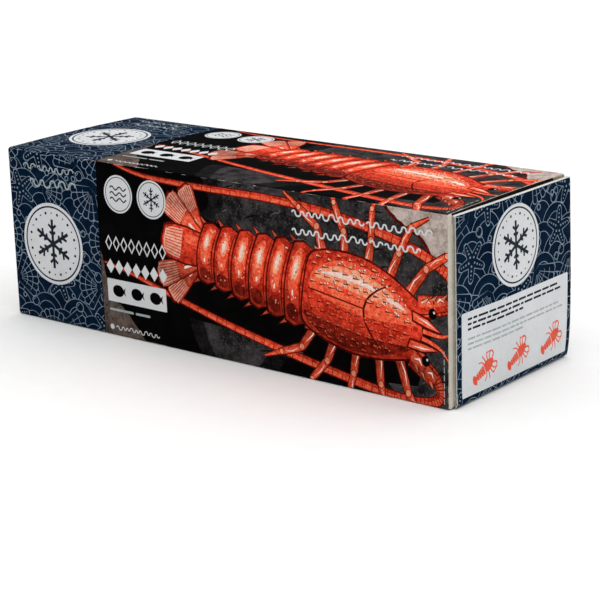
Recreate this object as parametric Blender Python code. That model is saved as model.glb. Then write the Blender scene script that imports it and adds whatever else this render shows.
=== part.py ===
"""Shut printed carton of micro-flute board, as sold with one frozen cooked spiny lobster.

One folded and glued blank, so one solid: a rounded box whose panels swell a little, with the outer
closing flap of each end folded up from the bottom panel and standing just off the end of the box.
Metres, +Z up. The origin is the middle of the footprint, on the surface that the carton rests on.
"""
import math

import bmesh
import bpy
from mathutils import Vector

# Size of the shut box between its creases
LENGTH = 0.330
WIDTH = 0.115
HEIGHT = 0.107

# Board: its thickness, the radius of a fold's outside, and how far each panel swells
BOARD = 0.0019
CREASE_RADIUS = 0.0018
CREASE_SEGMENTS = 3
SIDE_SWELL = 0.0011
TOP_SWELL = 0.0012
TOP_SWELL_AT_ENDS = 0.6

# Panel grid, fine enough for the swell to read as a curve
CELLS_LONG = 12
CELLS_ACROSS = 6

# Outer end flap: it hangs on the bottom crease and its other three edges are free
FLAP_FRONT_INSET = 0.0038
FLAP_BACK_INSET = 0.0006
FLAP_TOP_DROP = 0.0014
FLAP_STAND_OFF = 0.0006
FLAP_BOW = 0.0018
FLAP_BOW_POWER = 0.6
FLAP_LEAN_FRONT = -0.0003
FLAP_LEAN_BACK = 0.0008
FLAP_CELLS_ACROSS = 6
FLAP_CELLS_UP = 12

# Fold that joins a flap to the bottom panel: its tail is buried in the box, clear of the base
FOLD_TAIL = 0.0060
FOLD_LIFT = 0.0003
FOLD_SEGMENTS = 4

BOARD_COLOUR = (0.010, 0.026, 0.052, 1.0)
BOARD_ROUGHNESS = 0.38


def clear_scene():
    """Removes every object of the file that runs this script."""
    for old in list(bpy.data.objects):
        bpy.data.objects.remove(old, do_unlink=True)


def board_material():
    """Printed and varnished white-lined board, in the navy of the end panels."""
    material = bpy.data.materials.new("printed_board")
    material.use_nodes = True
    shader = material.node_tree.nodes["Principled BSDF"]
    shader.inputs["Base Color"].default_value = BOARD_COLOUR
    shader.inputs["Roughness"].default_value = BOARD_ROUGHNESS
    shader.inputs["Metallic"].default_value = 0.0
    return material


def new_object(name, bm, material):
    """A named object from a bmesh, with its material, linked to the scene."""
    bmesh.ops.recalc_face_normals(bm, faces=bm.faces)
    mesh = bpy.data.meshes.new(name)
    bm.to_mesh(mesh)
    bm.free()
    mesh.materials.append(material)
    made = bpy.data.objects.new(name, mesh)
    bpy.context.scene.collection.objects.link(made)
    return made


def swell_share(share):
    """How much of a panel's swell shows at a share of the way across it: none at either crease."""
    return math.sin(math.pi * min(max(share, 0.0), 1.0))


def box_point(along, across, up):
    """Point of the box for shares of its length, width and height, with the swell of its panels."""
    x = (along - 0.5) * LENGTH
    y = (across - 0.5) * WIDTH
    z = up * HEIGHT
    if across in (0.0, 1.0):
        outward = 1.0 if across == 1.0 else -1.0
        y += outward * SIDE_SWELL * swell_share(along) * swell_share(up)
    if up == 1.0:
        kept = TOP_SWELL_AT_ENDS + (1.0 - TOP_SWELL_AT_ENDS) * swell_share(along)
        z += TOP_SWELL * kept * swell_share(across)
    return Vector((x, y, z))


def box_bmesh():
    """The box as six grids of cells that share their edge points. Its 12 creases are marked to bevel."""
    counts = (CELLS_LONG, CELLS_ACROSS, CELLS_ACROSS)
    bm = bmesh.new()
    points = {}

    def point(step):
        if step not in points:
            shares = [step[axis] / counts[axis] for axis in range(3)]
            points[step] = bm.verts.new(box_point(*shares))
        return points[step]

    for fixed in range(3):
        first, second = [axis for axis in range(3) if axis != fixed]
        for side in (0, counts[fixed]):
            for a in range(counts[first]):
                for b in range(counts[second]):
                    corners = []
                    for da, db in ((0, 0), (1, 0), (1, 1), (0, 1)):
                        step = [0, 0, 0]
                        step[fixed], step[first], step[second] = side, a + da, b + db
                        corners.append(point(tuple(step)))
                    bm.faces.new(corners)

    steps = {vert: step for step, vert in points.items()}
    weights = bm.edges.layers.float.new("bevel_weight_edge")
    for edge in bm.edges:
        ends = [steps[vert] for vert in edge.verts]
        walls = [
            axis
            for axis in range(3)
            if ends[0][axis] == ends[1][axis] and ends[0][axis] in (0, counts[axis])
        ]
        edge[weights] = 1.0 if len(walls) == 2 else 0.0
    return bm


def flap_offset(across, up):
    """How far the outer face of a flap stands off the end of the box, at shares of its width and height."""
    lean = FLAP_LEAN_FRONT + (FLAP_LEAN_BACK - FLAP_LEAN_FRONT) * across
    bow = FLAP_BOW * math.sin(math.pi * up**FLAP_BOW_POWER)
    return BOARD + FLAP_STAND_OFF + bow + lean * up * up


def flap_line(across):
    """The outer face of a flap in section, from its buried tail round the fold and up: (out, z) pairs."""
    fold_radius = BOARD + FLAP_STAND_OFF
    line = [(-FOLD_TAIL, FOLD_LIFT)]
    for step in range(FOLD_SEGMENTS + 1):
        turn = 0.5 * math.pi * step / FOLD_SEGMENTS
        line.append((fold_radius * math.sin(turn), FOLD_LIFT + fold_radius * (1.0 - math.cos(turn))))
    foot = FOLD_LIFT + fold_radius
    rise = HEIGHT - FLAP_TOP_DROP - foot
    for step in range(1, FLAP_CELLS_UP + 1):
        up = step / FLAP_CELLS_UP
        line.append((flap_offset(across, up), foot + rise * up))
    return line


def flap_object(name, end, material):
    """One outer end flap: a bowed sheet of board, for end +1 (right) or -1 (left)."""
    bm = bmesh.new()
    low = -0.5 * WIDTH + FLAP_FRONT_INSET
    high = 0.5 * WIDTH - FLAP_BACK_INSET
    columns = []
    for step in range(FLAP_CELLS_ACROSS + 1):
        across = step / FLAP_CELLS_ACROSS
        y = low + (high - low) * across
        columns.append(
            [bm.verts.new((end * (0.5 * LENGTH + out), y, z)) for out, z in flap_line(across)]
        )
    for left, right in zip(columns, columns[1:]):
        for row in range(len(left) - 1):
            corners = (left[row], right[row], right[row + 1], left[row + 1])
            bm.faces.new(corners if end > 0 else corners[::-1])
    mesh = bpy.data.meshes.new(name)
    bm.to_mesh(mesh)
    bm.free()
    mesh.materials.append(material)
    flap = bpy.data.objects.new(name, mesh)
    thickness = flap.modifiers.new("board thickness", "SOLIDIFY")
    thickness.thickness = BOARD
    thickness.offset = -1.0
    thickness.use_even_offset = True
    return flap


def fuse(base, pieces):
    """Joins the pieces to the base with one Boolean union on a collection, applied, and removes them."""
    group = bpy.data.collections.new("flaps to fuse")
    bpy.context.scene.collection.children.link(group)
    for piece in pieces:
        group.objects.link(piece)
    join = base.modifiers.new("fuse flaps", "BOOLEAN")
    join.operation = "UNION"
    join.operand_type = "COLLECTION"
    join.collection = group
    join.solver = "EXACT"
    bpy.context.view_layer.update()
    evaluated = base.evaluated_get(bpy.context.evaluated_depsgraph_get())
    fused = bpy.data.meshes.new_from_object(evaluated)
    base.modifiers.clear()
    base.data = fused
    for piece in pieces:
        bpy.data.objects.remove(piece, do_unlink=True)
    bpy.data.collections.remove(group)


def carton():
    """The whole shut carton as one solid."""
    material = board_material()
    box = new_object("carton", box_bmesh(), material)
    creases = box.modifiers.new("creases", "BEVEL")
    creases.width = CREASE_RADIUS
    creases.segments = CREASE_SEGMENTS
    creases.limit_method = "WEIGHT"
    fuse(box, [flap_object("flap_right", 1, material), flap_object("flap_left", -1, material)])
    box.data.shade_smooth()
    box.data.set_sharp_from_angle(angle=math.radians(40))


clear_scene()
carton()
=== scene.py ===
"""Dresses the shut carton: printed panels folded round the box, and outer end flaps of real board.

Print is drawn as flat shapes in millimetres on each panel of the blank, the way a die maker's sheet
is drawn, and is then folded on to the carton.
"""
import math
import random

import bpy
from mathutils import Matrix, Vector
from mathutils.geometry import delaunay_2d_cdt


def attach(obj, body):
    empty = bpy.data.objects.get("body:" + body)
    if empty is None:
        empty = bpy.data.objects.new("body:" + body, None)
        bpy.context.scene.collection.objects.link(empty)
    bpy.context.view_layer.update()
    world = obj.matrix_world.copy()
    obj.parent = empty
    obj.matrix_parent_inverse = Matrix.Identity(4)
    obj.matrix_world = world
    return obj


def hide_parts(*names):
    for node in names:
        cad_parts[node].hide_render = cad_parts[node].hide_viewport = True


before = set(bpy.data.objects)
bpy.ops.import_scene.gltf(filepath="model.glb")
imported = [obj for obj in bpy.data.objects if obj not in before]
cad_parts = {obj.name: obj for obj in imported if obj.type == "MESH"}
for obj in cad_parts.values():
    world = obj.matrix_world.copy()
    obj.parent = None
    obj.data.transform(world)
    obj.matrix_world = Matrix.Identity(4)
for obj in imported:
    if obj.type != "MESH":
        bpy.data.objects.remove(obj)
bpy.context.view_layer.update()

# The camera, as the photograph was taken: from the front right and a little above, a long lens, the
# picture turned by less than two degrees. Its place is in millimetres from the middle of the
# carton's front bottom edge, and its lens is worked out for a picture of 600 pixels.
camera_from_front_edge = Vector((718.2, -796.8, 343.3))
camera_azimuth = math.radians(39.34)
camera_elevation = math.radians(16.13)
camera_roll = math.radians(-1.71)
focal_length_px, picture_px, sensor_mm = 1938.0, 600.0, 36.0
carton_width_mm = 115.0

forward = Vector((
    -math.sin(camera_azimuth) * math.cos(camera_elevation),
    math.cos(camera_azimuth) * math.cos(camera_elevation),
    -math.sin(camera_elevation),
))
level_right = Vector((math.cos(camera_azimuth), math.sin(camera_azimuth), 0.0))
level_up = level_right.cross(forward)
right = math.cos(camera_roll) * level_right + math.sin(camera_roll) * level_up
up = -math.sin(camera_roll) * level_right + math.cos(camera_roll) * level_up
camera = bpy.data.objects.new("camera", bpy.data.cameras.new("camera"))
camera.matrix_world = Matrix.Translation(
    (camera_from_front_edge - Vector((0.0, carton_width_mm / 2, 0.0))) / 1000
) @ Matrix((right, up, -forward)).transposed().to_4x4()
camera.data.sensor_width = sensor_mm
camera.data.lens = focal_length_px / picture_px * sensor_mm
camera.data.clip_start = 0.01
bpy.context.scene.collection.objects.link(camera)
bpy.context.scene.camera = camera
# colours are shown as they are mixed, with no film curve over them
bpy.context.scene.view_settings.view_transform = "Standard"


# The studio: a sweep of matt white paper under the carton, a wide panel of soft light for a ceiling,
# a weaker light on the right for the end panel, and a dark room, so that black ink stays black.
def linear(code):
    """An sRGB hex colour as Blender's linear one."""
    values = [int(code[i:i + 2], 16) / 255 for i in (1, 3, 5)]
    return tuple(v / 12.92 if v <= 0.04045 else ((v + 0.055) / 1.055) ** 2.4 for v in values) + (1.0,)


def node(tree, kind, links=None, **settings):
    """Adds a shader node: settings go to its properties or its sockets, links to its sockets."""
    made = tree.nodes.new(kind)
    for key, value in settings.items():
        if key in made.bl_rna.properties:
            setattr(made, key, value)
        else:
            made.inputs[key.replace("_", " ")].default_value = value
    for socket, source in (links or {}).items():
        tree.links.new(source, made.inputs[socket])
    return made


def new_piece(name, places, faces, wears, face_wears=None):
    """A mesh object from points in metres, with its materials and which of them each face wears."""
    mesh = bpy.data.meshes.new(name)
    mesh.from_pydata(places, [], faces)
    for material in wears:
        mesh.materials.append(material)
    if face_wears:
        mesh.polygons.foreach_set("material_index", face_wears)
    mesh.update()
    made = bpy.data.objects.new(name, mesh)
    bpy.context.scene.collection.objects.link(made)
    return made


# uncoated paper: no sheen, and a faint mottle that keeps the white from looking flat. It is drawn far
# coarser than real paper's, so that it shows at all.
floor_size, paper_mottle_mm = 5.0, 12.5
paper_colour, paper_mottle_colour = "#f6f6f5", "#fafafa"
paper_sweep = bpy.data.materials.new("matt studio paper")
paper_sweep.use_nodes = True
paper_tree = paper_sweep.node_tree
paper_shader = paper_tree.nodes["Principled BSDF"]
paper_shader.inputs["Roughness"].default_value = 0.9
paper_shader.inputs["Specular IOR Level"].default_value = 0.1
mottle = node(paper_tree, "ShaderNodeTexNoise", Scale=1000 * floor_size / paper_mottle_mm, Detail=3.0)
tone = node(paper_tree, "ShaderNodeMix", {"Factor": mottle.outputs["Fac"]}, data_type="RGBA",
            A=linear(paper_colour), B=linear(paper_mottle_colour))
paper_tree.links.new(tone.outputs["Result"], paper_shader.inputs["Base Color"])
edge = floor_size / 2
floor = new_piece("studio_floor", [(-edge, -edge, 0), (edge, -edge, 0), (edge, edge, 0), (-edge, edge, 0)],
                  [(0, 1, 2, 3)], [paper_sweep])

# each lamp's place, what it points at and its side in metres, and its watts
for name, place, aim, side, watts in (
    ("ceiling_panel", (1.0, 0.9, 3.0), (1.0, 0.9, 0.0), 10.0, 450.0),
    ("end_light", (2.6, -0.6, 1.3), (0.0, 0.0, 0.05), 1.2, 4.0),
):
    lamp = bpy.data.lights.new(name, "AREA")
    lamp.size, lamp.energy = side, watts
    hung = bpy.data.objects.new(name, lamp)
    hung.location = place
    hung.rotation_mode = "QUATERNION"
    hung.rotation_quaternion = (Vector(aim) - Vector(place)).to_track_quat("-Z", "Y")
    bpy.context.scene.collection.objects.link(hung)

# the far wall looks white, as the sweep does, but hardly lights the carton
wall_colour, wall_seen, wall_light = "#ffffff", 1.0, 0.06
room = bpy.data.worlds.new("dark studio room")
room.use_nodes = True
backdrop = room.node_tree.nodes["Background"]
backdrop.inputs["Color"].default_value = linear(wall_colour)
seen = node(room.node_tree, "ShaderNodeLightPath").outputs["Is Camera Ray"]
wall = node(room.node_tree, "ShaderNodeMapRange", {"Value": seen}, To_Min=wall_light, To_Max=wall_seen)
room.node_tree.links.new(wall.outputs["Result"], backdrop.inputs["Strength"])
bpy.context.scene.world = room


# The shut box: one blank of micro-flute board folded into a tube and glued. The creases are rounded
# by the board's own thickness, and the filled carton's panels swell a little between them.
length, width, height = 330.0, carton_width_mm, 107.0
crease_radius = 1.8
# the top's swell fades down the sides, and is gone a sixth of the way down
side_swell, top_swell, top_swell_at_ends, top_ramp = 1.1, 1.2, 0.6, 6.0


def folded(x, y, z):
    """A point of the sharp box, in millimetres, moved on to the rounded and swollen carton, in metres."""
    r = crease_radius
    core = Vector((
        max(-length / 2 + r, min(length / 2 - r, x)),
        max(-width / 2 + r, min(width / 2 - r, y)),
        max(r, min(height - r, z)),
    ))
    out = Vector((x, y, z)) - core
    place = core + out.normalized() * r
    along, across, high = x / length + 0.5, y / width + 0.5, z / height
    place.y += side_swell * (2 * across - 1) * math.sin(math.pi * along) * math.sin(math.pi * high)
    kept = top_swell_at_ends + (1 - top_swell_at_ends) * math.sin(math.pi * along)
    near_top = max(0.0, 1 - top_ramp * (1 - high))
    place.z += top_swell * kept * math.sin(math.pi * across) * near_top
    return place / 1000


# Front panel: clay-coated white liner, offset printed and varnished before the board was cut. Navy
# band of sea patterns at one end, a cooked lobster on black slate over the rest, and white reserves
# where the coated liner shows.

# The board has a flute every 3.2 mm, and its ridges are just felt under the print. Real paper fibres
# and halftone dots are several times finer than these, which are as coarse as they need to be to show.
flute_pitch_mm, ridge_depth_mm, fibre_mm, speck_mm = 3.2, 0.05, 0.35, 1.1
# how much the ink's depth varies over the fibres, and how rough the varnish is: a broad, dull sheen
ink_thinnest, ink_fullest = 0.88, 1.08
varnish_smoothest, varnish_roughest = 0.36, 0.50
# noise lies mostly between 0.3 and 0.7: the parts of it that make the patches, specks and fibres
patch_noise, speck_noise, fibre_noise = (0.38, 0.66), (0.56, 0.72), (0.3, 0.7)
speck_cover = 0.85


def coated_board(name, colour, fleck, patch_mm, shine, speck=None, ridges="X", lit=False):
    """Ink or bare coating on micro-flute board: colour that wanders a little, over faint flute ridges.

    Patches of the fleck colour are about patch_mm across. A speck colour adds the small pale dots
    of a halftone of rough shell or stone. A lit ink is darker or paler from point to point, by the
    light that the drawing gives each of them.
    """
    made = bpy.data.materials.new(name)
    made.use_nodes = True
    tree = made.node_tree
    shader = tree.nodes["Principled BSDF"]
    shader.inputs["Specular IOR Level"].default_value = shine
    where = node(tree, "ShaderNodeTexCoord").outputs["Object"]
    patches = node(tree, "ShaderNodeTexNoise", {"Vector": where},
                   Scale=1000 / patch_mm, Detail=4.0, Roughness=0.6)
    spread = node(tree, "ShaderNodeMapRange", {"Value": patches.outputs["Fac"]},
                  From_Min=patch_noise[0], From_Max=patch_noise[1])
    mixed = node(tree, "ShaderNodeMix", {"Factor": spread.outputs["Result"]}, data_type="RGBA",
                 A=linear(colour), B=linear(fleck))
    tint = mixed.outputs["Result"]
    if speck:
        dots = node(tree, "ShaderNodeTexNoise", {"Vector": where},
                    Scale=1000 / speck_mm, Detail=3.0, Roughness=0.7)
        share = node(tree, "ShaderNodeMapRange", {"Value": dots.outputs["Fac"]},
                     From_Min=speck_noise[0], From_Max=speck_noise[1], To_Max=speck_cover)
        dotted = node(tree, "ShaderNodeMix", {"Factor": share.outputs["Result"], "A": tint},
                      data_type="RGBA", B=linear(speck))
        tint = dotted.outputs["Result"]
    # the paper's fibres take the ink unevenly
    fibres = node(tree, "ShaderNodeTexNoise", {"Vector": where}, Scale=1000 / fibre_mm, Detail=2.0)
    depth = node(tree, "ShaderNodeMapRange", {"Value": fibres.outputs["Fac"]},
                 From_Min=fibre_noise[0], From_Max=fibre_noise[1], To_Min=ink_thinnest, To_Max=ink_fullest)
    light = depth.outputs["Result"]
    if lit:
        drawn = node(tree, "ShaderNodeAttribute", attribute_name="drawn_light").outputs["Fac"]
        light = node(tree, "ShaderNodeMath", {0: light, 1: drawn}, operation="MULTIPLY").outputs["Value"]
    inked = node(tree, "ShaderNodeMix", {"A": tint, "B": light}, data_type="RGBA", Factor=1.0,
                 blend_type="MULTIPLY", clamp_result=True)
    tree.links.new(inked.outputs["Result"], shader.inputs["Base Color"])
    # the same fibres break the varnish's sheen
    gloss = node(tree, "ShaderNodeMapRange", {"Value": fibres.outputs["Fac"]},
                 To_Min=varnish_smoothest, To_Max=varnish_roughest)
    tree.links.new(gloss.outputs["Result"], shader.inputs["Roughness"])
    # flute ridges that print through the liner: at scale 1 a wave's bands are tau / 20 apart
    flutes = node(tree, "ShaderNodeTexWave", {"Vector": where}, wave_type="BANDS", bands_direction=ridges,
                  Scale=math.tau / 20 / (flute_pitch_mm / 1000), Distortion=0.4, Detail=1.0)
    relief = node(tree, "ShaderNodeMath", {0: flutes.outputs["Fac"], 1: fibres.outputs["Fac"]},
                  operation="ADD")
    bump = node(tree, "ShaderNodeBump", {"Height": relief.outputs["Value"]},
                Strength=0.25, Distance=ridge_depth_mm / 1000)
    tree.links.new(bump.outputs["Normal"], shader.inputs["Normal"])
    return made


def ink_set(ridges):
    """Every ink and bare paper of the print, for panels whose flutes ridge along one axis.

    Each has its colour, its fleck colour, the size of its flecks in millimetres, its shine and, for
    a coarse halftone, a speck colour. A shine of 0.5 is usual for varnished ink. These start from
    it and are far lower, the dark ones most, since the photograph shows no light lying over them.
    """
    tones = {
        # offset inks on the clay-coated liner: an even, deep navy, crisp pale lines, a clean matt white
        "navy": ("navy offset ink", "#04162a", "#0a2136", 9.0, 0.004),
        "line": ("pale blue line ink", "#8c9aa9", "#748393", 6.0, 0.01),
        "paper": ("bare clay coating", "#dcdee0", "#d4d6d8", 20.0, 0.15),
        "mark": ("dark blue spot ink", "#14202f", "#101a28", 5.0, 0.06),
        "faded": ("greyed white ink", "#aab4b4", "#97a3a4", 5.0, 0.12),
        # rich black and grey halftones: soft-edged patches with a pale grain, like slate and stone
        "black": ("rich black ink", "#040404", "#0a0808", 12.0, 0.004),
        "char": ("dark slate halftone", "#0a090a", "#201e1f", 8.0, 0.006, "#353132"),
        "slate": ("slate grey halftone", "#171618", "#454142", 9.0, 0.008, "#6a6464"),
        "chip": ("light slate halftone", "#4a484b", "#625f60", 3.0, 0.01),
        "stone": ("pale stone halftone", "#cdbdb4", "#96847b", 4.0, 0.06, "#e4d8d0"),
        "umber": ("brown stone halftone", "#6c5d55", "#3b3330", 5.0, 0.01, "#8c7c73"),
        # red halftones of the cooked shell, from its shadows to its shine: mottled, with pale specks
        "deep": ("dark red shadow halftone", "#3a0a06", "#70180f", 3.0, 0.008),
        "dusk": ("dull red halftone", "#5e1009", "#aa2a1a", 4.0, 0.01, "#ca4c30"),
        "shell": ("cooked shell red halftone", "#aa1b0e", "#f0452c", 3.5, 0.012, "#fa885e"),
        "leg": ("orange red halftone", "#b62814", "#f05a36", 3.0, 0.012, "#fc9266"),
        "bright": ("lit shell halftone", "#e23a22", "#ff7650", 2.5, 0.015, "#ffb08a"),
        "glow": ("pale orange halftone", "#fb704a", "#ffb28e", 2.5, 0.02, "#ffdac2"),
        "gleam": ("shell shine halftone", "#ffcebc", "#fff4ee", 2.0, 0.04),
        "pale": ("pale shell halftone", "#e28a6c", "#f8c6b0", 2.5, 0.02, "#fde2d2"),
        "orange": ("orange spot ink", "#e8583a", "#e04d2c", 5.0, 0.12),
        # the board's own paper, unvarnished: dull grey-beige and brown, the pale fluff of torn fibres, and
        # liner in painted shade
        "liner": ("uncoated grey-beige liner", "#d3cdc0", "#c2baac", 6.0, 0.05),
        "kraft": ("brown kraft medium", "#a3967f", "#897c66", 3.0, 0.05),
        # painted shade: a near-black liner that stands in for board lying in shadow
        "gap": ("liner in painted shade", "#1d1916", "#120f0d", 5.0, 0.02),
        "worn": ("scuffed board fibre", "#b9ad9f", "#d6cdc1", 0.8, 0.05),
    }
    lit_inks = ("deep", "dusk", "shell", "leg", "bright", "glow", "pale")
    return {key: coated_board(*tone, ridges=ridges, lit=key in lit_inks) for key, tone in tones.items()}


def arc(u, v, radius, start=0.0, end=360.0, corners=28):
    """Points on a circle or a part of one, angles in degrees from the +u direction."""
    steps = corners if end - start >= 360.0 else corners + 1
    angles = [math.radians(start + (end - start) * step / corners) for step in range(steps)]
    return [(u + radius * math.cos(a), v + radius * math.sin(a)) for a in angles]


def rectangle(u0, v0, u1, v1):
    """A rectangle between two opposite corners."""
    return [(u0, v0), (u1, v0), (u1, v1), (u0, v1)]


def bar(u, v, reach, thick, rounding=0.49):
    """A bar with rounded ends. (u, v) is the middle of its left end."""
    r = thick * rounding
    lo, hi = v - thick / 2 + r, v + thick / 2 - r
    corners = ((u + reach - r, lo, -90), (u + reach - r, hi, 0), (u + r, hi, 90), (u + r, lo, 180))
    return [point for cu, cv, turn in corners for point in arc(cu, cv, r, turn, turn + 90, 4)]


def smooth(knots, steps=6):
    """A curve through given knots, which passes each one parallel to the line between its neighbours."""
    ends = [knots[0], *knots, knots[-1]]
    points = []
    for a, b, c, d in zip(ends, ends[1:], ends[2:], ends[3:]):
        for step in range(steps):
            t = step / steps
            points.append(tuple(
                0.5 * (2 * q + (r - p) * t
                       + (2 * p - 5 * q + 4 * r - s) * t**2
                       + (3 * q - p - 3 * r + s) * t**3)
                for p, q, r, s in zip(a, b, c, d)
            ))
    return points + [tuple(knots[-1])]


def stroke(path, thick, shift=0.0):
    """Outline of a line drawn along a path. thick is a width, or gives it for a share of the way.

    shift moves the line sideways, in its own widths.
    """
    at = thick if callable(thick) else lambda share: thick
    one, other = [], []
    for i, (u, v) in enumerate(path):
        (u0, v0), (u1, v1) = path[max(i - 1, 0)], path[min(i + 1, len(path) - 1)]
        step = math.hypot(u1 - u0, v1 - v0) or 1.0
        nu, nv = -(v1 - v0) / step, (u1 - u0) / step
        w = at(i / (len(path) - 1))
        a, b = w * (shift + 0.5), w * (shift - 0.5)
        one.append((u + nu * a, v + nv * a))
        other.append((u + nu * b, v + nv * b))
    return one + other[::-1]


def around(u, v, distance, turn):
    """The point at a distance from (u, v) in a direction in degrees."""
    return u + distance * math.cos(math.radians(turn)), v + distance * math.sin(math.radians(turn))


def scallop(u, v, r, turn):
    """A fan shell in line work: ribs from its hinge at (u, v) out to a lobed rim."""
    spread, lobes, weight = 62, 7, 0.6
    hinge_share, hinge_turn = 0.19, 118

    def fan(radius, half_angle):
        rim = []
        for step in range(lobes * 4 + 1):
            share = step / (lobes * 4)
            reach = radius * (0.93 + 0.07 * abs(math.sin(math.pi * lobes * share)))
            rim.append(around(u, v, reach, turn - half_angle + 2 * half_angle * share))
        for side in (1, -1):
            rim.append(around(u, v, hinge_share * radius, turn + side * hinge_turn))
        return rim

    prints = [("line", fan(r, spread)), ("navy", fan(r - weight, spread - 50 * weight / r))]
    for rib in range(1, lobes):
        way = turn - spread + 2 * spread * rib / lobes
        ends = [around(u, v, share * r, way) for share in (0.12, 0.93)]
        prints.append(("line", stroke(ends, lambda t: 0.28 + 0.24 * t)))
    for ring in (0.40, 0.68):
        prints.append(("line", stroke(arc(u, v, ring * r, turn - 56, turn + 56, 12), 0.36)))
    return prints


def starfish(u, v, r, turn):
    """A five-armed star in line work, with a row of dots down each arm."""
    def star(radius, waist):
        outline = []
        for arm in range(5):
            way = turn + 72 * arm
            for off, share in ((-11, 0.86), (-4.5, 0.98), (4.5, 0.98), (11, 0.86)):
                outline.append(around(u, v, radius * share, way + off))
            outline.append(around(u, v, waist, way + 36))
        return outline

    prints = [("line", star(r, 0.40 * r)), ("navy", star(r - 0.8, 0.40 * r - 0.7))]
    for arm in range(5):
        for share, dot in ((0.22, 0.056), (0.42, 0.05), (0.60, 0.044), (0.76, 0.036)):
            prints.append(("line", arc(*around(u, v, share * r, turn + 72 * arm), dot * r, corners=8)))
    return prints


def bubble(u, v, r):
    """A ring, with a short gleam inside it if it is large enough."""
    prints = [("line", arc(u, v, r, corners=16)), ("navy", arc(u, v, r - 0.55, corners=16))]
    if r > 2.2:
        prints.append(("line", stroke(arc(u, v, r * 0.55, 100, 170, 4), 0.45)))
    return prints


def sea_pattern(wide, tall, seed):
    """Rows of nested wave arcs, with large shells, starfish and bubbles drawn over them."""
    draw = random.Random(seed)
    # the waves' radius, how far each row stands above the last, and the weight of their lines
    wave, rise, line = 13.5, 8.6, 0.42
    prints = [("navy", rectangle(0, 0, wide, tall))]
    for row in range(int(tall / rise) + 3, -2, -1):
        for column in range(-1, int(wide / (2 * wave)) + 2):
            u, v = column * 2 * wave + (0 if row % 2 else wave), row * rise - 4
            for ring, corners in ((wave, 32), (wave * 0.62, 22)):
                prints.append(("line", arc(u, v, ring, corners=corners)))
                prints.append(("navy", arc(u, v, ring - line, corners=corners)))
    # one figure about every 27 mm, off its place by up to 3 mm: a starfish in every three, else a shell
    spacing, stray, kinds = 27.0, 3, 3
    columns, rows = round(wide / spacing), round(tall / spacing)
    spots = []
    for i in range(columns + 1):
        for j in range(rows + 1):
            u = (i + 0.5 * (j % 2)) * wide / columns + draw.uniform(-stray, stray)
            v = j * tall / rows + draw.uniform(-stray, stray)
            spots.append((u, v, (2 * i + j) % kinds))
    draw.shuffle(spots)
    for u, v, kind in spots:
        turn = draw.uniform(0, 360)
        if kind == 0:
            prints += starfish(u, v, draw.uniform(12, 14), turn)
        else:
            r = draw.uniform(15, 19)
            prints += scallop(*around(u, v, -0.5 * r, turn), r, turn)
        for bubbles in range(2):
            prints += bubble(*around(u, v, 0.6 * spacing, draw.uniform(0, 360)), draw.uniform(1.6, 3.6))
    return prints


def snow_crystal(u, v, r, ink, weight):
    """The plain six-armed sign for frozen goods."""
    prints = []
    for arm in range(6):
        way = 90 + 60 * arm
        prints.append((ink, stroke([(u, v), around(u, v, r, way)], weight)))
        for share, twig in ((0.38, 0.20), (0.62, 0.27)):
            foot = around(u, v, share * r, way)
            for side in (-52, 52):
                prints.append((ink, stroke([foot, around(*foot, twig * r, way + side)], weight * 0.8)))
    return prints + [(ink, arc(u, v, weight * 1.1, corners=12))]


def round_emblem(u, v, r):
    """White disc with a thin ring of navy, the frozen-goods sign and a ring of dots."""
    prints = [
        ("paper", arc(u, v, r, corners=72)),
        ("mark", arc(u, v, 0.925 * r, corners=64)),
        ("paper", arc(u, v, 0.885 * r, corners=64)),
    ]
    prints += snow_crystal(u, v, 0.60 * r, "mark", 0.082 * r)
    for dot in range(24):
        size = r * (0.037 if dot % 2 else 0.022)
        prints.append(("mark", arc(*around(u, v, 0.757 * r, 15 * dot), size, corners=8)))
    return prints


def mirrored(ink, outline):
    """A shape on the upper side of the body, and its mirror image on the lower."""
    return [(ink, outline), (ink, [(along, -across) for along, across in outline])]


def limb(path, thick, body="shell", shine=True):
    """A limb: its shadowed rim, its colour, its lit upper side, and a thin line of shine."""
    prints = [
        ("deep", stroke(path, lambda t: thick(t) + 1.1)),
        (body, stroke(path, thick)),
        ("bright", stroke(path, lambda t: 0.55 * thick(t), 0.25)),
    ]
    if shine:
        narrow = lambda t: 0.15 * thick(t) * math.sin(math.pi * (0.1 + 0.8 * t))
        prints.append(("gleam", stroke(path[1:-1], narrow, 1.9)))
    return prints


def rounded_off(share):
    """How full a long patch of tone is at a share of its length: nearly closed at both ends."""
    return math.sin(math.pi * (0.01 + 0.98 * share)) ** 0.4


def antennae():
    """The two long antennae: out from the head, round, and back past the tail, ringed most of the way."""
    root, tip, prints = 6.0, 0.8, []
    for side, bow in ((1, 40.0), (-1, 38.0)):
        knots = [
            (190, 13), (202, 17.5), (207, 0.70 * bow), (195, 0.88 * bow), (168, 0.98 * bow),
            (120, bow), (70, 0.93 * bow), (20, 0.80 * bow), (-20, 0.70 * bow), (-44, 0.70 * bow),
        ]
        path = smooth([(along, side * across) for along, across in knots], 7)
        thick = lambda t: max(tip, root * (1 - t) ** 0.52)
        prints += limb(path, thick, shine=False)
        for i in range(2, int(len(path) * 0.8)):
            one, *_, other = stroke(path[i:i + 2], thick(i / (len(path) - 1)))
            prints.append(("deep" if i % 2 else "dusk", stroke([one, other], 0.45)))
    return prints


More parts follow.
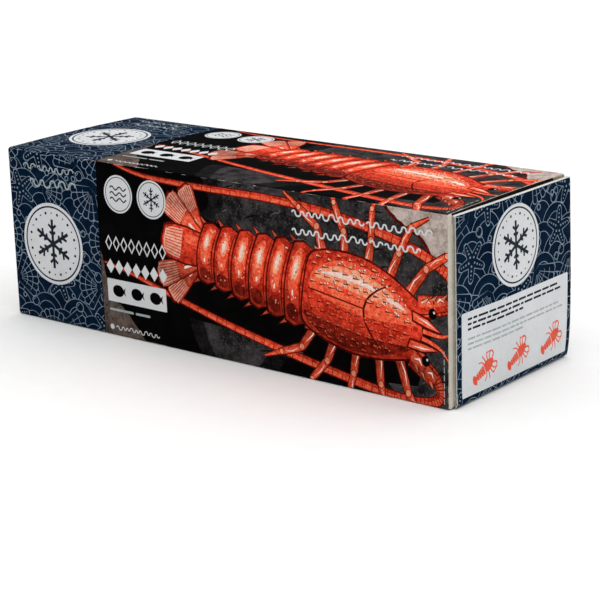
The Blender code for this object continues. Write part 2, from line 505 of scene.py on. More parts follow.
def walking_legs():
    """Ten legs, each in three lengths, the front pairs reaching forward and the rear pairs back."""
    prints = []
    for pair in range(5):
        root, lean = 122.0 + 13.5 * pair, -38.0 + 19.0 * pair
        for side in (1, -1):
            hip = (root, side * 14.0)
            knee = around(*hip, 20.5, side * (90 - 0.8 * lean))
            shin = around(*knee, 15.5, side * (90 - 1.5 * lean) + side * 8)
            tip = around(*shin, 13.0, side * (90 - 2.1 * lean) - side * 14)
            prints += limb(smooth([shin, tip], 4), lambda t: 3.0 - 2.2 * t, "leg", shine=False)
            prints += limb(smooth([knee, shin], 4), lambda t: 4.2 - 0.9 * t, "leg")
            prints += limb(smooth([hip, knee], 4), lambda t: 5.8 - 1.4 * t, "leg")
            for joint, r in ((knee, 1.7), (shin, 1.3)):
                prints.append(("dusk", arc(*joint, r + 0.5, corners=12)))
                prints.append(("glow", arc(*joint, r, corners=12)))
    return prints


def fan_blade(hinge, way, back, front, narrow, wide):
    """A patch of a fan blade, between two distances from its hinge, with its width at each."""
    def breadth(t):
        """Straight sides for most of the way, then a round end."""
        shoulder = 1 if t < 0.8 else 0.45 + 0.55 * math.sqrt(1 - ((t - 0.8) / 0.2) ** 2)
        return (narrow + (wide - narrow) * t) * shoulder

    return stroke([around(*hinge, back + (front - back) * step / 8, way) for step in range(9)], breadth)


def tail_fan():
    """Two ribbed blades each side of the middle one, paler towards their ends."""
    prints = []
    for side in (1, -1):
        for swing, reach, broad in ((48, 32, 15), (25, 36, 16)):
            way, hinge = 180 - side * swing, (33.0, side * 6.0)
            for ink, *sizes in (
                ("deep", 0, reach + 1, 6, broad + 1.2),
                ("shell", 0.5, reach, 5, broad),
                ("pale", 0.55 * reach, reach - 0.7, 0.66 * broad, broad - 1.4),
                ("bright", 3, 0.55 * reach, 4, 0.6 * broad),
                ("gleam", 6, 0.40 * reach, 0.8, 1.6),
            ):
                prints.append((ink, fan_blade(hinge, way, *sizes)))
            for rib in range(-4, 5):
                ends = []
                for share, fanned in ((0.5, 0.075), (0.95, 0.104)):
                    ends.append(around(*around(*hinge, share * reach, way), rib * fanned * broad, way + 90))
                prints.append(("shell", stroke(ends, 0.55)))
    middle_blade = [(36, 8), (20, 9.5), (8, 9), (2, 7), (0.5, 0)]
    for grow, ink in ((1.0, "deep"), (0.0, "shell")):
        upper = [(along - grow, across + grow) for along, across in middle_blade]
        prints.append((ink, upper + [(along, -across) for along, across in upper[::-1]]))
    prints.append(("pale", [(16, 8), (8, 7.6), (3, 6), (1.8, 0), (3, -6), (8, -7.6), (16, -8)]))
    for rib in range(-4, 5):
        prints.append(("shell", stroke([(17, rib * 1.8), (3.2, rib * 1.45)], 0.5)))
    prints.append(("bright", [(33, 1.5), (33, 6), (20, 7), (17, 5), (19, 1.5)]))
    return prints


# the lobster's six tail plates: where the first one starts along it, how far apart they are and how
# far each arches, all in the drawing's own millimetres
tail_plates, first_plate, plate_pitch, plate_arch = 6, 30.0, 13.2, 3.6


def tail_plate(plate, draw):
    """One hooped plate, which laps over the next behind it, with a spine at each side."""
    rear, half = first_plate + plate_pitch * plate, 14.5 + 1.15 * plate

    def curve(t):
        """Where the rear edge lies along the body, at a share of half the plate's breadth."""
        return rear + 2.6 - plate_arch * (1 - t * t)

    def across_plate(start, end, back, front, steps=12):
        """A patch with rounded ends that follows the hoop of the plate.

        It runs from start to end across it, as shares of half its breadth, and from back to front
        along it.
        """
        edges = []
        for step in range(steps + 1):
            t = start + (end - start) * step / steps
            reach = 0.5 * (front - back) * rounded_off(step / steps)
            middle = curve(t) + 0.5 * (back + front)
            edges.append(((middle - reach, t * half), (middle + reach, t * half)))
        return [near for near, _ in edges] + [far for _, far in edges[::-1]]

    prints = mirrored("deep", [(rear + 9, half - 1), (rear - 3.2, half + 4.6), (rear + 1.5, half - 1)])
    prints += mirrored("bright", [(rear + 8, half - 1), (rear - 1.6, half + 3.4), (rear + 2.4, half - 1)])
    for grow, ink in ((1.0, "deep"), (0.0, "shell")):
        rear_edge = [(curve(t) - grow, t * (half + grow)) for t in [-1 + step / 6 for step in range(13)]]
        prints.append((ink, rear_edge + [(rear + 8.5, half + 1.5 + grow), (rear + 15.5, half - 1),
                                         (rear + 15.5, 1 - half), (rear + 8.5, -half - 1.5 - grow)]))
    for ink, *patch in (
        ("dusk", -0.98, -0.55, 0.8, 9.6),
        ("bright", -0.45, 0.90, 1.6, 9.2),
        ("glow", 0.05, 0.72, 3.0, 8.0),
        ("gleam", 0.18, 0.60, 4.1, 6.5, 8),
        ("gleam", -0.36, -0.20, 4.8, 6.1, 6),
        ("deep", -0.95, 0.95, 10.1, 10.9),
    ):
        prints.append((ink, across_plate(*patch)))
    for spot in range(18):
        t = draw.uniform(-0.92, 0.92)
        along, r = curve(t) + draw.uniform(1.5, 9.5), draw.uniform(0.3, 0.6)
        prints.append(("pale" if spot % 3 else "dusk", arc(along, t * half, r, corners=7)))
    return prints


def shell_tone(low, high):
    """A long patch of tone between two curves over the carapace, with rounded ends."""
    edges = list(zip(smooth(low, 5), smooth(high, 5)))
    one, other = [], []
    for step, ((a, b), (c, d)) in enumerate(edges):
        kept = 0.5 + 0.5 * rounded_off(step / (len(edges) - 1))
        one.append((a * kept + c * (1 - kept), b * kept + d * (1 - kept)))
        other.append((c * kept + a * (1 - kept), d * kept + b * (1 - kept)))
    return one + other[::-1]


def carapace(draw):
    """The main shell, shaded on its lower side and lit on its upper, with its groove, seam and spines."""
    prints = []
    flank = smooth([(108, 0), (109, 14), (114, 19.5), (128, 23), (146, 24), (163, 21.5),
                    (176, 17.5), (186, 13.5), (191, 8), (189, 4), (190, 0)], 5)
    for grow, ink in ((1.1, "deep"), (0.0, "shell")):
        upper = [(a - (grow if a < 112 else 0), b + (grow if b > 1 else 0)) for a, b in flank]
        prints.append((ink, upper + [(a, -b) for a, b in upper[::-1]][1:-1]))
    for ink, low, high in (
        ("dusk", [(110, -17), (126, -22), (146, -23), (165, -20), (184, -12)],
         [(110, -9), (126, -13), (146, -14), (165, -12), (184, -7)]),
        ("bright", [(111, -5), (126, -4), (146, -4), (166, -3), (185, -1)],
         [(112, 14), (127, 19.5), (146, 20.5), (166, 17), (185, 9)]),
        ("glow", [(114, 5), (128, 6), (146, 6), (164, 5.5), (178, 5)],
         [(115, 12), (128, 16), (146, 17), (164, 14), (178, 9)]),
        ("gleam", [(119, 9.2), (132, 10.4), (146, 10.8), (158, 9.8)],
         [(119, 10.8), (132, 13.2), (146, 13.9), (158, 12.0)]),
        ("gleam", [(164, 8.2), (170, 8), (177, 7)], [(164, 10.6), (170, 10.4), (177, 8.4)]),
    ):
        prints.append((ink, shell_tone(low, high)))
    neck_groove = smooth([(150, 0), (152, 6), (158, 12), (166, 17)], 5)
    prints += mirrored("deep", stroke(neck_groove, lambda t: 1.5 - 0.8 * t))
    middle_seam = [(111, 0), (150, 0)]
    prints.append(("deep", stroke(middle_seam, 0.8)))
    # rows of forward-pointing spines: each row's distance from the seam, and how many it has
    for row, (off, count) in enumerate(((4.5, 11), (9, 10), (13.5, 9), (17.5, 8), (21, 7))):
        for n in range(count):
            along = 113 + n * (72 - 4 * row) / count + 2.4 * (row % 2)
            for side in (1, -1):
                b = side * off * (1 - 0.5 * max(0.0, (along - 150) / 40) ** 1.4)
                size = draw.uniform(1.4, 2.4)
                prints.append(("deep", [(along - 1.0, b - 1.2), (along + 1.8 * size, b - 0.2),
                                        (along - 1.0, b + 1.0)]))
                prints.append(("glow" if side > 0 else "bright",
                               [(along - 0.7, b - 0.4), (along + 1.4 * size, b), (along - 0.7, b + 0.8)]))
    # small knobs between them, each with its own shadow
    for knob in range(150):
        along, b = draw.uniform(112, 184), draw.uniform(-1, 1)
        b *= 20.5 if along < 158 else 20.5 - 0.42 * (along - 158)
        r = draw.uniform(0.35, 0.75)
        prints.append(("deep", arc(along - 0.25, b - 0.35, r, corners=7)))
        prints.append(("gleam" if b > 4 else "bright", arc(along, b, 0.8 * r, corners=7)))
    return prints


def lobster_head():
    """Eyes on stalks, two horns over them, thick antenna bases and the thin forked feelers."""
    prints = []
    for side in (1, -1):
        eye_stalk = smooth([(190, side * 9.5), (193.5, side * 11.5)], 3)
        prints += limb(eye_stalk, lambda t: 4.0, "dusk", shine=False)
        prints += limb(smooth([(185, side * 13.5), (194, side * 16.5)], 4), lambda t: 8.8)
        prints += limb(smooth([(195, side * 17), (202, side * 20)], 4), lambda t: 8.0 - 0.8 * t)
        feeler = smooth([(190, side * 1.8), (200, side * 2.6), (206, side * 5), (211, side * 10)], 5)
        prints.append(("deep", stroke(feeler, lambda t: 3.2 - 2.2 * t)))
        prints.append(("bright", stroke(feeler, lambda t: 2.2 - 1.7 * t)))
        prints.append(("black", arc(194.5, side * 12.0, 2.7, corners=16)))
        prints.append(("paper", arc(195.3, side * 12.0 + 0.9, 0.7, corners=8)))
        # three spurs on each antenna base
        for along, off in ((188, 17), (193, 19.5), (199, 22)):
            for ink, back, ahead, rise, front in (("deep", 2, 3.5, 3, 2), ("glow", 1, 2.8, 2.2, 1.4)):
                prints.append((ink, [(along - back, side * (off - 1)), (along + ahead, side * (off + rise)),
                                     (along + front, side * (off - 1))]))
    prints += mirrored("deep", [(181, 9.8), (192, 9.0), (203, 4.2), (192, 3.2), (182, 4.2)])
    prints += mirrored("bright", [(182, 8.8), (192, 8.0), (201, 4.6), (192, 4.4), (183, 5.2)])
    prints += mirrored("gleam", [(184, 7.6), (192, 7.0), (197, 5.4), (191, 6.2)])
    return prints


def cooked_lobster(place):
    """The picture of a whole spiny lobster from above, antennae swept back past its tail.

    It is drawn in its own frame, 200 mm from the tip of the tail forward to the horns, and place
    maps a point of it, along and across, to the panel. Each part is laid over those before it.
    """
    draw = random.Random(5)
    body = [(4, -24), (30, -30), (110, -26), (150, -30), (196, -18), (200, 12), (150, 22), (20, 26)]
    shadow = [(along - 4, across - 8) for along, across in body]
    prints = [("black", shadow)] + antennae() + walking_legs() + tail_fan()
    for plate in range(tail_plates):
        prints += tail_plate(plate, draw)
    prints += carapace(draw) + lobster_head()
    return [(ink, [place(along, across) for along, across in outline]) for ink, outline in prints]


def ripple(u, v, runs, tall, ink, thick, draw):
    """A line of small waves, in runs with a gap after each. runs holds how far each run and gap reach."""
    prints = []
    for run in runs:
        at, up = u, True
        while at < u + run - 2.2:
            r = 0.5 * tall * draw.choice((0.36, 0.36, 0.46, 0.62))
            start = 0 if up else 180
            prints.append((ink, stroke(arc(at + r, v, r, start, start + 180, 6), thick)))
            at, up = at + 2 * r, not up
        u += run
    return prints


def diamond_row(u, v, reach, tall, count, ink, thick=None):
    """A row of diamonds: in outline on the black ground where thick is given, else solid."""
    prints, pitch = [], reach / count
    layers = [(0, ink), (thick, "black")] if thick else [(0, ink)]
    for n in range(count):
        middle = u + (n + 0.5) * pitch
        for inset, wear in layers:
            half, high = 0.46 * pitch - inset, 0.5 * tall - inset * tall / pitch
            diamond = [(middle + half, v), (middle, v + high), (middle - half, v), (middle, v - high)]
            prints.append((wear, diamond))
    return prints


def small_fish(u, v, reach, ink):
    """A plain fish: a lens for the body and a forked tail."""
    half, deep = 0.36 * reach, 0.30 * reach
    body = []
    for step in range(13):
        turn = math.pi * step / 12
        body.append((u - half * math.cos(turn), v + deep * math.sin(turn) ** 0.9))
    body += [(a, 2 * v - b) for a, b in body[-2:0:-1]]
    tail = [(u + 0.26 * reach, v), (u + 0.5 * reach, v + 0.22 * reach),
            (u + 0.43 * reach, v), (u + 0.5 * reach, v - 0.22 * reach)]
    return [(ink, body), (ink, tail)]


def rough_line(draw, knots, jag, steps=7):
    """A curve with a broken edge, like split stone. Its points stay clear of their neighbours."""
    points = smooth(knots, steps)
    jag = min([jag] + [0.3 * math.dist(a, b) for a, b in zip(points, points[1:])])
    return [(u + draw.uniform(-jag, jag), v + draw.uniform(-jag, jag)) for u, v in points]


def scuffs(draw, u0, v0, u1, v1, count, longest=9.0):
    """Short thin slivers along a crease where the print has cracked and fibres show."""
    prints = []
    reach = math.hypot(u1 - u0, v1 - v0)
    du, dv = (u1 - u0) / reach, (v1 - v0) / reach
    for mark in range(count):
        start, run = draw.uniform(0, reach - 2), draw.uniform(1.2, longest)
        end, thick = min(start + run, reach), draw.uniform(0.14, 0.34)
        off = draw.uniform(0.0, 0.45)
        a, b = [(u0 + du * d - dv * off, v0 + dv * d + du * off) for d in (start, end)]
        middle = ((a[0] + b[0]) / 2, (a[1] + b[1]) / 2)
        prints.append(("worn", stroke([a, middle, b], lambda t: thick * (0.25 + math.sin(math.pi * t)))))
    return prints


# the drawing is laid out for a panel as tall as the front, and stretches to the top panel's width
band_wide, front_tall = 76.5, height

# the lobster lies a little tilted, its head towards the far end of the panel
lobster_tilt, lobster_size, lobster_stout, lobster_bend = math.radians(-10), 0.985, 1.15, 3.0
lobster_tail_u, lobster_tail_v = 128.5, 70.5


def sideways(along):
    """How far the lobster's middle line swings to one side, at a place along it."""
    return lobster_bend * math.sin((along - 60) / 50)


def from_lobster(along, across, tall):
    """A point of the lobster's own frame on a long panel of any height."""
    across = lobster_stout * across + sideways(along)
    return (
        lobster_tail_u + lobster_size * (along * math.cos(lobster_tilt) - across * math.sin(lobster_tilt)),
        lobster_tail_v * tall / front_tall
        + lobster_size * (along * math.sin(lobster_tilt) + across * math.cos(lobster_tilt)),
    )


def drawn_light(u, v, tall):
    """How brightly the drawn lobster is lit: as a round body under one soft lamp above its back."""
    du = (u - lobster_tail_u) / lobster_size
    dv = (v - lobster_tail_v * tall / front_tall) / lobster_size
    along = du * math.cos(lobster_tilt) + dv * math.sin(lobster_tilt)
    across = -du * math.sin(lobster_tilt) + dv * math.cos(lobster_tilt)
    across = (across - sideways(along)) / lobster_stout
    # half the body's breadth: it widens where the tail meets the carapace and narrows to the head
    widens_at, narrows_at, tail_front, body_edge = 100, 158, 108, 1.12
    half = 17.0 + 7.0 * max(0.0, min(1.0, (along - widens_at) / 20))
    half -= 7.0 * max(0.0, min(1.0, (along - narrows_at) / 36))
    off = across / half
    if abs(off) > body_edge:
        # legs and antennae: in the body's shade close to it, and paler further out
        return 0.60 + 0.46 * min(1.0, (abs(across) - body_edge * half) / 18)
    lamp_off, lamp_spread = 0.32, 1.45
    light = 0.42 + 0.80 * math.cos(0.5 * math.pi * (off - lamp_off) / lamp_spread) ** 1.4
    if first_plate < along < tail_front:
        # each tail plate is a hoop of its own, darker where the next one laps over it
        hoop = ((along - first_plate) / plate_pitch) % 1.0
        light *= 0.72 + 0.36 * math.sin(math.pi * hoop) ** 0.8
    elif along <= first_plate:
        light *= 0.98
    return light


def slate_ground(draw, tall):
    """Split slate, lighter where it catches the light, and pale stone at two corners."""
    prints = [("black", rectangle(band_wide, 0, length, tall))]
    slab = rough_line(draw, [(168, -2), (158, 22), (170, 46), (160, 74), (176, 92), (170, tall + 2)], 1.6)
    for ink, back_off in (("char", 11), ("slate", 0)):
        prints.append((ink, [(u - back_off, v) for u, v in slab] + [(length, tall + 6), (length, -6)]))
    hollow_u, hollow_half = 248, 52
    hollow = rough_line(draw, [(196, -2), (214, 16), (246, 22), (282, 14), (300, -2)], 0.9)
    for ink, grow in (("char", 1.0), ("black", 0.72)):
        bowl = [(hollow_u + grow * (u - hollow_u), grow * v) for u, v in hollow]
        bowl += [(hollow_u + hollow_half * grow, -8), (hollow_u - hollow_half * grow, -8)]
        prints.append((ink, bowl))
    for streak in range(46):
        u, v = draw.uniform(172, 326), draw.uniform(2, tall - 2)
        run, turn = draw.uniform(3, 15), draw.uniform(8, 34)
        knots = [(u, v), around(u, v, run / 2, turn), around(u, v, run, turn - 6)]
        sliver = stroke(rough_line(draw, knots, 0.35, 3),
                        lambda t: 0.9 * math.sin(math.pi * (0.06 + 0.88 * t)))
        prints.append(("chip" if streak % 3 else "black", sliver))
    corner = rough_line(draw, [(288, tall + 2), (300, tall - 8), (314, tall - 15),
                               (322, tall - 27), (length + 2, tall - 33)], 0.9)
    prints.append(("deep", [(u - 1.3, v - 1.5) for u, v in corner] + [(length + 3, tall + 3)]))
    prints.append(("stone", corner + [(length + 2, tall + 2)]))
    foot = rough_line(draw, [(band_wide, 54), (79.5, 45), (81, 35), (87, 24), (98, 15), (112, -2)], 0.9)
    prints.append(("umber", [(max(u, band_wide), v) for u, v in foot] + [(band_wide, -6)]))
    return prints


def round_badge(u, v, sign):
    """A small white disc with a thin ring, round three waves or a snow crystal."""
    prints = [
        ("paper", arc(u, v, 11.5, corners=44)),
        ("mark", arc(u, v, 10.4, corners=40)),
        ("paper", arc(u, v, 9.9, corners=40)),
    ]
    if sign == "crystal":
        return prints + snow_crystal(u, v, 7.2, "mark", 0.9)
    for row in (-3.4, 0.0, 3.4):
        crest = [(u - 6.6 + step * 1.1, v + row + 1.1 * math.sin(step * 1.1)) for step in range(13)]
        prints.append(("mark", stroke(crest, 0.9)))
    return prints


def front_art(tall, seed):
    """The print of a long panel of any height: band, ground, lobster, emblem, badges, rows of signs."""
    draw = random.Random(seed)
    stretch = tall / front_tall
    prints = sea_pattern(band_wide, tall, seed)
    prints += slate_ground(draw, tall)
    prints += cooked_lobster(lambda along, across: from_lobster(along, across, tall))
    # narrow edge of the ground next to the band
    prints.append(("black", rectangle(band_wide, 0, band_wide + 0.5, tall)))
    # the band's white disc, and two rows of ripples over it
    prints += round_emblem(u=36.0, v=50.3 * stretch, r=25.7)
    prints += ripple(14, 97 * stretch, runs=(12, 30), tall=6.5, ink="faded", thick=0.8, draw=draw)
    prints += ripple(19, 88 * stretch, runs=(38,), tall=9.0, ink="faded", thick=1.1, draw=draw)
    for badge_u, sign in ((94.0, "waves"), (120.8, "crystal")):
        prints += round_badge(badge_u, 88.7 * stretch, sign)
    # two rows of diamonds, a white box of fishes, two bars, and a dot with ripples after it
    rows_u, box_v, bars_v, dot_v = 81.4, 28.8 * stretch, 16.6 * stretch, 5.4 * stretch
    prints += diamond_row(rows_u, 58.2 * stretch, reach=50, tall=9.6, count=8, ink="paper", thick=0.95)
    prints += diamond_row(rows_u, 43.8 * stretch, reach=50, tall=9.0, count=7, ink="paper")
    prints.append(("paper", bar(rows_u, box_v, reach=48, thick=14.2, rounding=0.04)))
    for fish in range(3):
        prints += small_fish(90.2 + 15.2 * fish, box_v, reach=12.4, ink="black")
    for bar_u, reach in ((81.8, 20), (103.4, 12)):
        prints.append(("faded", bar(bar_u, bars_v, reach, thick=1.5)))
    prints.append(("paper", arc(83, dot_v, radius=1.7, corners=14)))
    prints += ripple(86.5, dot_v, runs=(36,), tall=4.2, ink="paper", thick=0.6, draw=draw)
    # two long rows of ripples over the lobster's legs
    for row_v, runs in ((95.0 * stretch, (6, 33, 12, 41)), (84.8 * stretch, (6, 34, 13, 10, 24))):
        prints += ripple(226.5, row_v, runs, tall=6.2, ink="paper", thick=1.0, draw=draw)
    # a column of short dashes up the far edge
    dash_u, dash_wide, dash_foot, dash_tall, dash_pitch = 326.6, 0.5, 3, 3.2, 4.4
    for dash in range(7):
        low = dash_foot + dash_pitch * dash
        prints.append(("faded", rectangle(dash_u, low, dash_u + dash_wide, low + dash_tall)))
    # creases: the print is cracked along the folds and rubbed through at both ends
    for crease in ((0, 0, length, 0), (length, tall, 0, tall)):
        prints += scuffs(draw, *crease, count=16)
    for worn_u, worn_wide in ((length - 0.35, 0.35), (0, 0.3)):
        prints.append(("worn", rectangle(worn_u, 0, worn_u + worn_wide, tall)))
    for crease, count in (((length - 0.3, 0, length - 0.3, tall), 14), ((0.3, tall, 0.3, 0), 8)):
        prints += scuffs(draw, *crease, count, longest=5.0)
    return prints


# how far from a crease the extra lines run that let it curve
crease_lines = (0.6, 1.2, crease_radius)


def printed_panel(name, wide, tall, prints, place, inks, ground="navy", extra_lines=crease_lines):
    """One panel of the blank as one mesh, folded on to the carton by place.

    Shapes cut each other where they cross, and every patch wears the ink laid last. A net of lines a
    few millimetres apart lets the panel bend, with extra ones at some distances from its edges.
    Every point keeps the light that the drawing gives it.
    """
    net_mm, same_point_mm = 6.0, 1e-4
    corners, outlines, lines = [], [], []

    def add(outline):
        """Adds the points of a line or an outline, and gives their numbers."""
        first = len(corners)
        corners.extend(Vector(point) for point in outline)
        return list(range(first, len(corners)))

    outlines.append(add(rectangle(0, 0, wide, tall)))
    for ink, outline in prints:
        turned = sum(a[0] * b[1] - b[0] * a[1] for a, b in zip(outline, outline[1:] + outline[:1]))
        outlines.append(add(outline if turned > 0 else outline[::-1]))
    for reach, line in ((wide, lambda s: ((s, 0), (s, tall))), (tall, lambda s: ((0, s), (wide, s)))):
        cells = round(reach / net_mm)
        stops = [reach * i / cells for i in range(1, cells)]
        stops += [side for near in extra_lines for side in (near, reach - near)]
        lines += [tuple(add(line(stop))) for stop in stops]
    spots, _, patches, _, _, covers = delaunay_2d_cdt(corners, lines, outlines, 0, same_point_mm, True)

    # cover 0 is the panel itself, and the later ones follow the order in which the ink is laid
    laid = [ground, *[ink for ink, _ in prints]]
    used, slots, faces, wears = {}, {}, [], []
    for patch, cover in zip(patches, covers):
        if 0 in cover:
            faces.append([used.setdefault(corner, len(used)) for corner in patch])
            wears.append(slots.setdefault(laid[max(cover)], len(slots)))
    flat = [spots[corner] for corner in used]
    panel = new_piece(name, [place(u, v) for u, v in flat], faces, [inks[ink] for ink in slots], wears)
    panel.data.shade_smooth()
    lights = panel.data.attributes.new("drawn_light", "FLOAT", "POINT")
    lights.data.foreach_set("value", [drawn_light(u, v, tall) for u, v in flat])
    # the panel lies flat in its bake map, as it does on the blank
    bake_map = panel.data.uv_layers.new(name="OFBake")
    bake_map.uv.foreach_set("vector", [share for face in faces for corner in face
                                       for share in (flat[corner][0] / wide, flat[corner][1] / tall)])
    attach(panel, "root")
    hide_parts("carton")


tube_inks = ink_set("X")
printed_panel("front_panel", length, height, front_art(height, 3),
              lambda u, v: folded(u - length / 2, -width / 2, v), tube_inks)


# Top panel: the next panel of the same sheet, with the same print spread over its greater width.
# Its print stands the right way up towards the back.
printed_panel("top_panel", length, width, front_art(width, 8),
              lambda u, v: folded(u - length / 2, v - width / 2, height), tube_inks)


# Back panel: the same print as the front. Along its foot shows the cut edge of the bottom panel,
# which laps over it and is glued.
lap_paper, lap_worn = 0.9, 1.25
back_art = front_art(height, 14)
back_art.append(("paper", rectangle(0, 0, length, lap_paper)))
back_art.append(("worn", rectangle(0, lap_paper, length, lap_worn)))
printed_panel("back_panel", length, height, back_art,
              lambda u, v: folded(length / 2 - u, width / 2, v), tube_inks)


# Bottom panel: the last panel of the tube, which the carton rests on. It is a plain navy flood with
# a pale box of short bars, and its outer edge is glued over the foot of the back panel.
def bar_rows(u, v, reach, rows, pitch, draw, ink="mark", thick=1.3):
    """Rows of bars of uneven length, the last row short."""
    gap, last_row = 0.9, 0.55
    prints = []
    for row in range(rows):
        at, end = u, u + reach * (last_row if row == rows - 1 else draw.uniform(0.93, 1.0))
        while at < end - 3:
            run = min(draw.uniform(2.5, 9), end - at)
            prints.append((ink, bar(at, v - row * pitch, run, thick)))
            at += run + gap
    return prints


bottom_draw = random.Random(21)
bottom_art = [("paper", bar(96, width / 2, reach=138, thick=74, rounding=0.04))]
for column_u in (102, 170):
    bottom_art += bar_rows(column_u, 88, reach=56, rows=15, pitch=4.2, draw=bottom_draw)
for crease in ((0, 0, length, 0), (length, width, 0, width)):
    bottom_art += scuffs(bottom_draw, *crease, count=12)
printed_panel("bottom_panel", length, width, bottom_art,
              lambda u, v: folded(u - length / 2, width / 2 - v, 0.0), tube_inks)


# End walls: the box's own dust flaps, folded in from the sides and left unprinted. They are seen
# only round the outer end flap: grey-beige liner, brown kraft where a flap is cut short, and painted shade.
# where the painted shade starts in from the front and how deep it runs from the top, the kraft's width; the
# slit, painted dark as shade: its width and how far short of the top it stops
shade_front, shade_deep, kraft_wide = 3.4, 6, 13
slit_wide, slit_top = 1.0, 5


def end_wall_art(end, seed):
    """Liner in painted shade below the top, where the outer flap shades it, and the dust flaps' slit painted
    dark.
    """
    draw = random.Random(seed)
    shaded_u, kraft_u = (shade_front, width - kraft_wide) if end > 0 else (0, 0)
    # painted shade under the top edge, kraft over part of it, and the slit between the dust flaps painted
    # dark as shade
    prints = [
        ("gap", rectangle(shaded_u, height - shade_deep, shaded_u + width - shade_front, height)),
        ("kraft", rectangle(kraft_u, height - shade_deep, kraft_u + kraft_wide, height)),
        ("gap", rectangle(width / 2 - slit_wide / 2, 0, width / 2 + slit_wide / 2, height - slit_top)),
    ]
    for crease, count in (((0, 0, width, 0), 4), ((width, 0, width, height), 5), ((0.2, height, 0.2, 0), 6)):
        prints += scuffs(draw, *crease, count)
    return prints


for name, end, seed in (("right_end_wall", 1, 31), ("left_end_wall", -1, 32)):
    printed_panel(name, width, height, end_wall_art(end, seed),
                  lambda u, v: folded(end * length / 2, end * (u - width / 2), v), tube_inks, ground="liner")


# Outer end flaps: each hangs on the bottom panel's end crease, folds up over the dust flaps and is
# held by glue near the front, so it stands off a little and bows. Its other three edges are raw:
# white outer liner, fluted medium and grey-beige inner liner, crushed together along the top.
board, stand_off, fold_lift = 1.9, 0.6, 0.3
# how far it stops short of the box at the front, the back and the top
flap_front, flap_back, flap_top_drop = 3.8, 0.6, 1.4
# its bow, fullest a third of the way up, and how far its top leans out at the front and the back
flap_bow, bow_power, lean_front, lean_back = 1.8, 0.6, -0.3, 0.8
# the share of that left at the glued front, how far back it is full, and the rise of the glue line
glued_share, glue_reach, glue_rise = 0.12, 44.0, 0.08
flap_wide = width - flap_front - flap_back
fold_radius = board + stand_off
fold_arc = fold_radius * math.pi / 2
flap_tall = fold_arc + height - flap_top_drop - fold_lift - fold_radius


def flap_point(end, u, s, depth=0.0):
    """A point of a flap: u across from its left edge, s up along its outer face, depth into the board."""
    y = end * u + (flap_front - width / 2 if end > 0 else width / 2 - flap_back)
    if s < fold_arc:
        turn = s / fold_radius
        out = (fold_radius - depth) * math.sin(turn)
        z = fold_lift + fold_radius - (fold_radius - depth) * math.cos(turn)
    else:
        z = fold_lift + fold_radius + s - fold_arc
        up = (s - fold_arc) / (flap_tall - fold_arc)
        back = (y + width / 2 - flap_front) / flap_wide
        # glued down along the front edge, free behind it
        way = max(0.0, min(1.0, back * flap_wide / glue_reach))
        free = glued_share + (1 - glued_share) * way * way * (3 - 2 * way)
        lean = (lean_front + (lean_back - lean_front) * back) * up * up
        swell = flap_bow * math.sin(math.pi * up**bow_power) + lean
        out = board + stand_off * (1 - (1 - free) * min(1.0, up / glue_rise)) + free * swell - depth
    return Vector((end * (length / 2 + out), y, z)) / 1000


def lobster_sign(u, v, size, turn, ink="orange"):
    """A small flat sign of a spiny lobster, head towards turn: shell, tail plates, fan, legs, feelers."""
    prints = []
    ahead, beside = math.cos(math.radians(turn)), math.sin(math.radians(turn))

    def put(outline):
        """Prints one shape, drawn for a size of 1 and a head to the right."""
        prints.append((ink, [(u + size * (a * ahead - b * beside), v + size * (a * beside + b * ahead))
                             for a, b in outline]))

    shell_side = [(0.00, -0.24), (0.26, -0.31), (0.50, -0.24), (0.70, -0.10)]
    put(shell_side + [(0.74, 0)] + [(a, -b) for a, b in shell_side[::-1]])
    for plate in range(4):
        rear, half = -0.17 - 0.16 * plate, 0.245 - 0.022 * plate
        put([(rear, -half), (rear + 0.135, -half - 0.02), (rear + 0.135, half + 0.02),
             (rear, half), (rear - 0.025, 0)])
    for swing in (-46, -18, 18, 46):
        way = 180 + swing
        put(stroke([around(-0.66, 0, 0.02, way), around(-0.66, 0, 0.34, way)], lambda t: 0.08 + 0.13 * t))
    for side in (1, -1):
        for leg in range(4):
            hip = (0.08 + 0.13 * leg, side * 0.2)
            knee = around(*hip, 0.28, side * (116 - 18 * leg))
            put(stroke([hip, knee, around(*knee, 0.24, side * (150 - 44 * leg))], 0.07))
        feeler = [(0.64, side * 0.12), (0.86, side * 0.26), (0.80, side * 0.50), (0.46, side * 0.62)]
        put(stroke(smooth(feeler, 4), lambda t: 0.10 - 0.04 * t))
    return prints


def flap_art(seed):
    """Sea pattern, the round emblem, and a white box with rows of bars over three lobster signs."""
    draw = random.Random(seed)
    prints = sea_pattern(flap_wide, flap_tall, seed)
    prints += round_emblem(u=55, v=79.5, r=22.7)
    prints.append(("paper", bar(4.7, 29.2, reach=102.3, thick=47, rounding=0.02)))
    for first_row_v, ink, thick in ((48.6, "mark", 1.25), (37.6, "faded", 1.05)):
        prints += bar_rows(10, first_row_v, reach=93, rows=3, pitch=2.8, draw=draw, ink=ink, thick=thick)
    for sign_u in (25, 56.8, 90.7):
        prints += lobster_sign(sign_u, 17.4, size=11.4, turn=28)
    # cut edges: the liner's white core shows, and the corners are rubbed
    rim = 0.22
    prints.append(("worn", rectangle(0, fold_arc, rim, flap_tall)))
    prints.append(("worn", rectangle(flap_wide - rim, fold_arc, flap_wide, flap_tall)))
    prints.append(("paper", rectangle(0, flap_tall - 1.5 * rim, flap_wide, flap_tall)))
    for rubbed, count, longest in (
        ((0.1, flap_tall, 0.1, fold_arc), 9, 4.0),
        ((flap_wide - 0.1, fold_arc, flap_wide - 0.1, flap_tall), 7, 4.0),
        ((flap_wide, flap_tall - 0.1, 0, flap_tall - 0.1), 12, 6.0),
        ((0, 2.0, flap_wide, 2.0), 16, 7.0),
    ):
        prints += scuffs(draw, *rubbed, count, longest)
    return prints


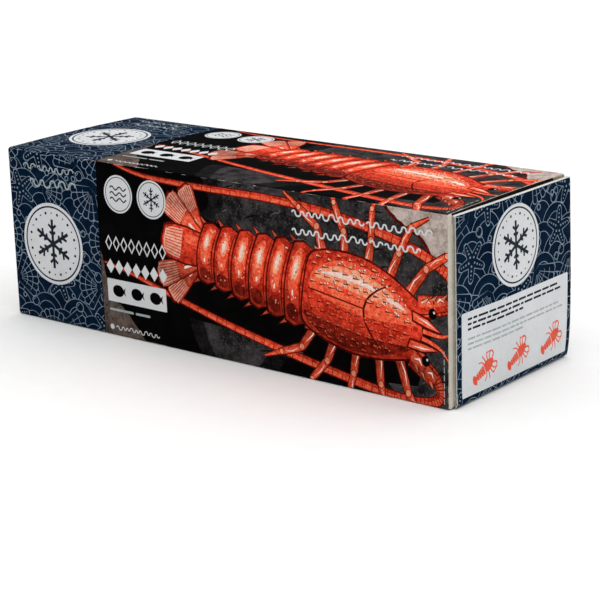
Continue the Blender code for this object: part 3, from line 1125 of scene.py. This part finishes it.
def board_sheet(end, outer, inner, foot, top, steps_up, inset=0.02, wave=0.0):
    """Points and faces of one paper sheet inside the board, a closed slab from side edge to side edge.

    outer and inner are depths into the board, foot and top are heights up the flap, and inset is how
    far its side edges are drawn back. wave is how far the sheet swings each way, as the corrugated
    medium does, over one flute pitch.
    """
    across, places, faces = 20, [], []
    for i in range(steps_up + 1):
        s = foot + (top - foot) * i / steps_up
        swing = wave * math.sin(math.tau * s / flute_pitch_mm)
        for j in range(across + 1):
            u = inset + (flap_wide - 2 * inset) * j / across
            places += [flap_point(end, u, s, depth + swing) for depth in (outer, inner)]
    row = 2 * (across + 1)
    for i in range(steps_up):
        for j in range(across):
            a = i * row + 2 * j
            faces += [(a, a + 2, a + row + 2, a + row), (a + 1, a + row + 1, a + row + 3, a + 3)]
        a = i * row
        b = a + 2 * across
        faces += [(a, a + row, a + row + 1, a + 1), (b, b + 1, b + row + 1, b + row)]
    for j in range(across):
        a, b = 2 * j, steps_up * row + 2 * j
        faces += [(a, a + 1, a + 3, a + 2), (b, b + 2, b + 3, b + 1)]
    return places, faces if end > 0 else [face[::-1] for face in faces]


flap_inks = ink_set("Z")
liner_thick, sheet_foot = 0.3, 0.4
# net lines close together round the fold, so that the print bends as smoothly as the liner under it
fold_lines = [fold_arc * step / 6 for step in range(1, 7)]
for side, end, seed in (("right", 1, 41), ("left", -1, 42)):
    printed_panel(f"{side}_end_flap_print", flap_wide, flap_tall, flap_art(seed),
                  lambda u, s: flap_point(end, u, s), flap_inks, extra_lines=fold_lines)
    # the board behind the print, open at the side edges so that the flutes show
    for sheet, ink, outer, inner, foot, top, steps, inset, wave in (
        ("outer_liner", "paper", 0.12, 0.12 + liner_thick, sheet_foot, flap_tall - 0.1, 110, 0.02, 0.0),
        ("medium", "liner", 0.85, 1.05, sheet_foot, flap_tall - 0.5, 400, 0.02, 0.45),
        ("inner_liner", "liner", board - liner_thick, board, sheet_foot, flap_tall, 110, 0.02, 0.0),
        ("crushed_edge", "paper", liner_thick, board - liner_thick,
         flap_tall - 0.7, flap_tall - 0.12, 1, 0.1, 0.0),
    ):
        places, faces = board_sheet(end, outer, inner, foot, top, steps, inset, wave)
        piece = new_piece(f"{side}_end_flap_{sheet}", places, faces, [flap_inks[ink]])
        piece.data.shade_smooth()
        piece.data.set_sharp_from_angle(angle=math.radians(40))
        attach(piece, "root")
        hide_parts("carton")
